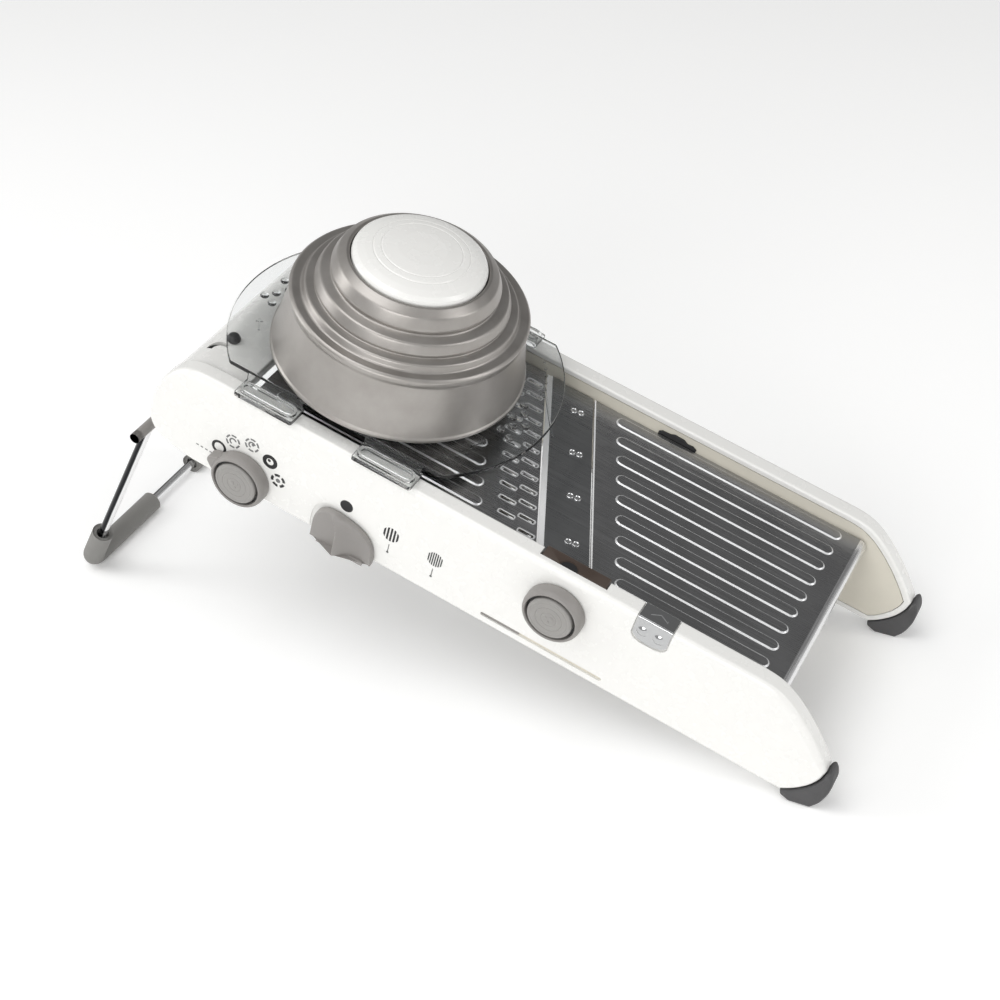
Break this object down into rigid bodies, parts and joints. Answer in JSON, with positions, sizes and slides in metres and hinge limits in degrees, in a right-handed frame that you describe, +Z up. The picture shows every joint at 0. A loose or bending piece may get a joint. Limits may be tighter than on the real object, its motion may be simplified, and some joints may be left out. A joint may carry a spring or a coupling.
{
  "type": "mandoline slicer",
  "caption": "Adjustable hand slicer: slanted blade between a ribbed ramp and landing deck, round food holder on a clear sliding guard, dials, comb selector and folding wire stand.",
  "frame": {"origin": "centre of the bounding box footprint, on the surface the slicer stands on", "axes": "+X towards the low front end where slices are pushed, +Y across away from the side with the dials, +Z up; the body slopes down towards +X by 18.5 degrees"},
  "size_m": [0.4532, 0.1548, 0.225],
  "materials": {
    "gloss_white": "glossy moulded white",
    "warm_white": "satin warm white inner moulding",
    "warm_grey": "satin warm grey moulding",
    "bell_grey": "satin metallic grey shell",
    "foot_rubber": "dark grey rubber",
    "sleeve_rubber": "mid grey rubber",
    "brushed_deck": "fine brushed stainless",
    "bright_steel": "ground bright stainless",
    "chrome_wire": "polished chrome",
    "clear_plastic": "clear polycarbonate",
    "black_plastic": "black moulding",
    "zinc_hardware": "zinc plated"
  },
  "bodies": {
    "frame": {"side_shell_near": "gloss_white", "side_shell_far": "gloss_white", "inner_liner_near": "warm_white", "inner_liner_far": "warm_white", "front_foot_near": "foot_rubber", "front_foot_far": "foot_rubber", "rear_bridge": "gloss_white", "guard_stop_bumper": "black_plastic", "blade_bed": "warm_grey", "front_tie_rod": "zinc_hardware", "deck_pivot_rod": "zinc_hardware", "ramp_pivot_rod": "zinc_hardware", "bed_screw_near": "zinc_hardware", "bed_screw_far": "zinc_hardware", "bridge_screw_near": "zinc_hardware", "bridge_screw_far": "zinc_hardware", "blade": "brushed_deck", "blade_carrier": "black_plastic", "blade_rivet_1a": "bright_steel", "blade_rivet_1b": "bright_steel", "blade_rivet_2a": "bright_steel", "blade_rivet_2b": "bright_steel", "blade_rivet_3a": "bright_steel", "blade_rivet_3b": "bright_steel", "blade_rivet_4a": "bright_steel", "blade_rivet_4b": "bright_steel", "stand_bracket_near": "warm_grey", "stand_bracket_far": "warm_grey"},
    "ramp": {"ramp_plate": "brushed_deck", "ramp_frame": "black_plastic"},
    "comb_fine": {"julienne_comb_fine": "bright_steel"},
    "comb_coarse": {"julienne_comb_coarse": "bright_steel"},
    "deck": {"landing_deck": "brushed_deck", "lift_tab": "chrome_wire"},
    "dial": {"thickness_dial": "warm_grey", "thickness_dial_face": "warm_grey", "thickness_shaft": "zinc_hardware", "thickness_cam_near": "black_plastic", "thickness_cam_far": "black_plastic"},
    "lock": {"lock_knob": "warm_grey", "lock_knob_face": "warm_grey", "lock_shaft": "zinc_hardware"},
    "selector": {"selector_lever": "warm_grey", "selector_slider": "black_plastic"},
    "stand": {"stand_wire": "chrome_wire", "stand_foot_near": "sleeve_rubber", "stand_foot_far": "sleeve_rubber"},
    "guard": {"guard_carriage": "clear_plastic"},
    "holder": {"holder_bell": "bell_grey", "holder_cap": "gloss_white", "guide_post": "zinc_hardware", "post_screw": "zinc_hardware", "plunger_spring": "zinc_hardware"},
    "plunger": {"food_plunger": "clear_plastic"}
  },
  "joints": [
    {"name": "carriage_slide", "type": "slide", "parent": "frame", "child": "guard", "axis": [0.9481, 0, -0.318], "range_m": [-0.008, 0.181]},
    {"name": "holder_lift", "type": "slide", "parent": "guard", "child": "holder", "axis": [0.318, 0, 0.9481], "range_m": [0, 0.02]},
    {"name": "plunger_press", "type": "slide", "parent": "holder", "child": "plunger", "axis": [0.318, 0, 0.9481], "range_m": [0, 0.015], "stiffness_N_per_m": 80, "springref_m": -0.012, "deforming": ["plunger_spring"]},
    {"name": "thickness_turn", "type": "hinge", "parent": "frame", "child": "dial", "pos_m": [-0.08505, -0.0699, 0.11207], "axis": [0, 1, 0], "range_deg": [0, 138]},
    {"name": "ramp_tilt", "type": "hinge", "parent": "frame", "child": "ramp", "pos_m": [-0.09807, 0.0051, 0.15124], "axis": [0, 1, 0], "range_deg": [0, 3.01]},
    {"name": "lock_turn", "type": "hinge", "parent": "frame", "child": "lock", "pos_m": [0.08815, -0.0699, 0.08162], "axis": [0, 1, 0], "range_deg": [0, 90]},
    {"name": "selector_slide", "type": "slide", "parent": "frame", "child": "selector", "axis": [0.9481, 0, -0.318], "range_m": [0, 0.0512]},
    {"name": "fine_comb_rise", "type": "slide", "parent": "ramp", "child": "comb_fine", "axis": [0.318, 0, 0.9481], "range_m": [0, 0.008]},
    {"name": "coarse_comb_rise", "type": "slide", "parent": "ramp", "child": "comb_coarse", "axis": [0.318, 0, 0.9481], "range_m": [0, 0.008]},
    {"name": "deck_lift", "type": "hinge", "parent": "frame", "child": "deck", "pos_m": [0.19043, 0.0051, 0.05543], "axis": [0, 1, 0], "range_deg": [0, 4]},
    {"name": "stand_fold", "type": "hinge", "parent": "frame", "child": "stand", "pos_m": [-0.153, 0.0051, 0.1164], "axis": [0, -1, 0], "range_deg": [0, 101]}
  ],
  "couplings": [
    {"joint": "ramp_tilt", "follows": "thickness_turn", "ratio": 0.0217},
    {"joint": "fine_comb_rise", "follows": "selector_slide", "ratio": 0.1561},
    {"joint": "coarse_comb_rise", "follows": "selector_slide", "ratio": 0.1561}
  ]
}
